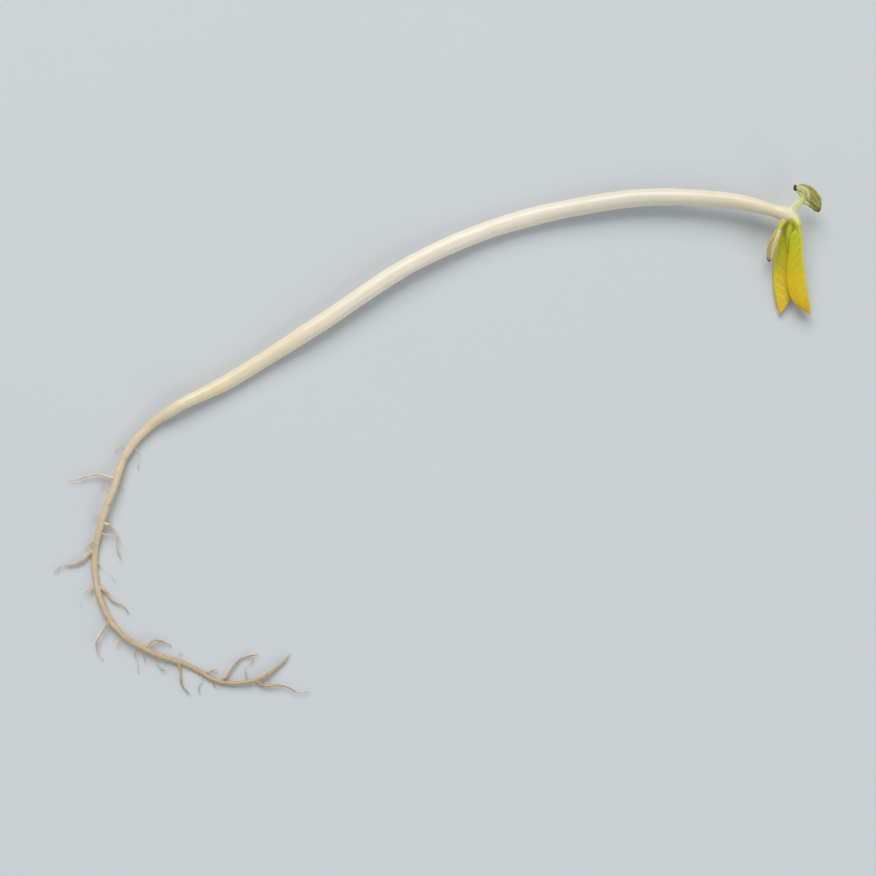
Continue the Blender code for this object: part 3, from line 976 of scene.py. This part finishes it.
def make_seed_half(line, half_width, half_thickness, belly, pale_side, roll, wrinkle):
    """A bent, wrinkled lens, with its pale side to the right (1) or the left (-1) of its line."""
    guide, length = draw_guide(line, [-roll] * len(line))
    deselect_all()
    bpy.ops.mesh.primitive_uv_sphere_add(segments=SEED_SEGMENTS, ring_count=SEED_RINGS, radius=1)
    half = bpy.context.object
    edit_all(half)
    bpy.ops.transform.rotate(value=math.pi / 2, orient_axis="Y", center_override=(0, 0, 0))
    leave_edit()
    places = [((vertex.co.x + 1) / 2, math.atan2(vertex.co.z, vertex.co.y)) for vertex in half.data.vertices]
    swells = [math.sin(math.pi * min(1.0, max(0.0, share))) for share, _ in places]
    creases = []
    for (share, turn), swell in zip(places, swells):
        long_fold = groove(2.5 * turn + 2 * share + 0.5 * math.sin(7 * share))
        short_fold = groove(5.5 * turn - 3.5 * share + 1.3 * math.sin(9 * share))
        pucker = groove(10 * share + 1.5 * math.sin(2 * turn) + math.sin(23 * share))
        creases.append(swell**0.5 * (0.5 * long_fold + 0.3 * short_fold + 0.2 * pucker))
    sides = [-pale_side * vertex.co.y for vertex in half.data.vertices]
    edit_all(half)
    bpy.ops.transform.resize(value=(length / 2, half_width, half_thickness), center_override=(0, 0, 0))
    bpy.ops.transform.translate(value=(length / 2, 0, 0))
    leave_edit()
    if belly:
        fullness = [max(0.0, side) * swell for side, swell in zip(sides, swells)]
        push(half, fullness, -pale_side * belly * half_width, "Y")
    push(half, creases, -wrinkle, "NORMAL")
    mark(half, "crease", creases)
    mark(half, "pale_side", sides)
    mark(half, "along", [share for share, _ in places])
    roughen(half, SEED_LUMPS, wrinkle)
    bend_along(guide, half)
    return half


def make_seed_halves(settings):
    """The greenish brown outer half with its dark scar, and the pale inner half."""
    depth = settings.wrinkle / MM
    sizes = (settings.outer_half_width / MM, settings.outer_half_thickness / MM, settings.belly)
    outer = make_seed_half(OUTER_SEED_LINE, *sizes, pale_side=1, roll=OUTER_SEED_ROLL, wrinkle=depth)
    colours = (settings.outer, settings.outer_crease_shade_and_patches, settings.belly_flesh, settings.outer_crease_shade_and_patches)
    skin = seed_skin("outer_seed_skin", *colours, slant=2.2)
    finish_piece(outer, "outer_seed_half", skin, "seed_half_outer")
    depth = depth * INNER_WRINKLES
    sizes = (settings.inner_half_width / MM, settings.inner_half_thickness / MM, 0)
    inner = make_seed_half(INNER_SEED_LINE, *sizes, pale_side=-1, roll=INNER_SEED_ROLL, wrinkle=depth)
    # The inner half's pale side is a painted highlight.
    colours = (settings.inner, settings.inner_crease_shade_and_patches, settings.ridge, settings.dry_end)
    skin = seed_skin("inner_seed_skin", *colours, slant=0.4)
    finish_piece(inner, "inner_seed_half", skin, "seed_half_inner")
    deselect_all()
    bpy.ops.mesh.primitive_ico_sphere_add(subdivisions=4, radius=SCAR_RADIUS, location=SCAR)
    scar = bpy.context.object
    bpy.ops.object.transform_apply()
    edit_all(scar)
    bpy.ops.transform.resize(value=SCAR_SHAPE, center_override=SCAR)
    leave_edit()
    roughen(scar, SCAR_LUMPS)
    finish_piece(scar, "seed_scar", scar_skin(settings))


def add_soft_light(name, place, target, softness, strength, colour):
    """A wide light from far off, which shines from this place towards the target."""
    deselect_all()
    bpy.ops.object.light_add(type="SUN", location=place)
    light = bpy.context.object
    light.name = name
    light.data.angle = softness
    light.data.energy = strength
    light.data.color = colour
    light.rotation_euler = (target - Vector(place)).to_track_quat("-Z", "Y").to_euler()


def make_stage(settings):
    """The pale floor, the soft lights and the camera above."""
    low, high = (Vector(corner) for corner in SOLID_BOX)
    centre = (low + high) / 2
    deselect_all()
    bpy.ops.mesh.primitive_plane_add(size=settings.floor_size, location=(0, 0, -FLOOR_DROP))
    floor = bpy.context.object
    floor.name = "floor"
    bpy.ops.object.transform_apply()
    paint = Paint("floor_finish")
    grain = paint.noise(0.02, 4)
    darker = [c * 0.985 for c in settings.floor]
    lighter = [min(1, c * 1.015) for c in settings.floor]
    paint.put({"Base Color": paint.mix(grain, darker, lighter), "Roughness": 0.55})
    floor.data.materials.append(paint.material)

    add_soft_light("key", KEY_PLACE, centre, settings.softness, settings.key_strength, KEY_COLOUR)
    add_soft_light("fill", FILL_PLACE, centre, settings.softness, settings.fill_strength, FILL_COLOUR)
    world = bpy.data.worlds.new("room")
    world.use_nodes = True
    backdrop = world.node_tree.nodes["Background"]
    backdrop.inputs["Color"].default_value = (*ROOM_COLOUR, 1)
    backdrop.inputs["Strength"].default_value = settings.room_light
    bpy.context.scene.world = world
    bpy.context.scene.view_settings.view_transform = "Standard"

    deselect_all()
    bpy.ops.object.camera_add(rotation=(math.pi / 2 - settings.elevation, 0, 0))
    camera = bpy.context.object
    camera.data.lens = settings.lens
    camera.data.clip_start = 0.01
    camera.data.clip_end = 10
    reach = (high.x - low.x) / settings.filling * settings.lens / camera.data.sensor_width
    back = Vector((0, -math.cos(settings.elevation), math.sin(settings.elevation)))
    camera.location = centre + back * reach
    bpy.context.scene.camera = camera


class SPROUT_OT_stem(bpy.types.Operator):
    """Makes the long white stem"""

    bl_idname = "sprout.stem"
    bl_label = "Stem"

    def execute(self, context):
        make_stem(context.scene.sprout_stem)
        return {"FINISHED"}


class SPROUT_OT_root(bpy.types.Operator):
    """Makes the curling root with its rootlets"""

    bl_idname = "sprout.root"
    bl_label = "Root"

    def execute(self, context):
        make_root(context.scene.sprout_root, context.scene.sprout_stem)
        return {"FINISHED"}


class SPROUT_OT_shoot_tip(bpy.types.Operator):
    """Makes the neck with its stalks, bud and links"""

    bl_idname = "sprout.shoot_tip"
    bl_label = "Shoot Tip"

    def execute(self, context):
        make_shoot_tip(context.scene.sprout_tip, context.scene.sprout_stem)
        return {"FINISHED"}


class SPROUT_OT_leaves(bpy.types.Operator):
    """Makes the two young leaves"""

    bl_idname = "sprout.leaves"
    bl_label = "Leaves"

    def execute(self, context):
        settings = context.scene.sprout_leaves
        make_leaf("blade_upper", UPPER_MIDRIB, UPPER_ROLL, 1, 0.0, settings)
        # The lower leaf is painted lighter, against the shade of the upper leaf.
        make_leaf("blade_lower", LOWER_MIDRIB, LOWER_ROLL, -1, settings.lower_painted_light, settings)
        return {"FINISHED"}


class SPROUT_OT_seed_halves(bpy.types.Operator):
    """Makes the two shrivelled seed halves"""

    bl_idname = "sprout.seed_halves"
    bl_label = "Seed Halves"

    def execute(self, context):
        make_seed_halves(context.scene.sprout_seed)
        return {"FINISHED"}


class SPROUT_OT_stage(bpy.types.Operator):
    """Makes the floor, the lights and the camera"""

    bl_idname = "sprout.stage"
    bl_label = "Stage"

    def execute(self, context):
        make_stage(context.scene.sprout_stage)
        return {"FINISHED"}


class SPROUT_PT_panel(bpy.types.Panel):
    """Lists the sprout's pieces and their settings"""

    bl_label = "Mung Bean Sprout"
    bl_idname = "SPROUT_PT_panel"
    bl_space_type = "VIEW_3D"
    bl_region_type = "UI"
    bl_category = "Sprout"

    def draw(self, context):
        for name, (group, operator) in PIECES.items():
            box = self.layout.box()
            box.operator(operator.bl_idname)
            settings = getattr(context.scene, name)
            for value in group.__annotations__:
                box.prop(settings, value)


PIECES = {
    "sprout_stem": (StemSettings, SPROUT_OT_stem),
    "sprout_root": (RootSettings, SPROUT_OT_root),
    "sprout_tip": (TipSettings, SPROUT_OT_shoot_tip),
    "sprout_leaves": (LeafSettings, SPROUT_OT_leaves),
    "sprout_seed": (SeedSettings, SPROUT_OT_seed_halves),
    "sprout_stage": (StageSettings, SPROUT_OT_stage),
}


def register():
    """Makes the settings, operators and panel known."""
    for name, (group, operator) in PIECES.items():
        bpy.utils.register_class(group)
        bpy.utils.register_class(operator)
        setattr(bpy.types.Scene, name, PointerProperty(type=group))
    bpy.utils.register_class(SPROUT_PT_panel)


def unregister():
    """Takes them away again."""
    bpy.utils.unregister_class(SPROUT_PT_panel)
    for name, (group, operator) in PIECES.items():
        delattr(bpy.types.Scene, name)
        bpy.utils.unregister_class(operator)
        bpy.utils.unregister_class(group)


def main():
    """Makes every piece and the stage."""
    register()
    bpy.ops.sprout.stem()
    bpy.ops.sprout.root()
    bpy.ops.sprout.shoot_tip()
    bpy.ops.sprout.leaves()
    bpy.ops.sprout.seed_halves()
    bpy.ops.sprout.stage()


if __name__ == "__main__":
    main()
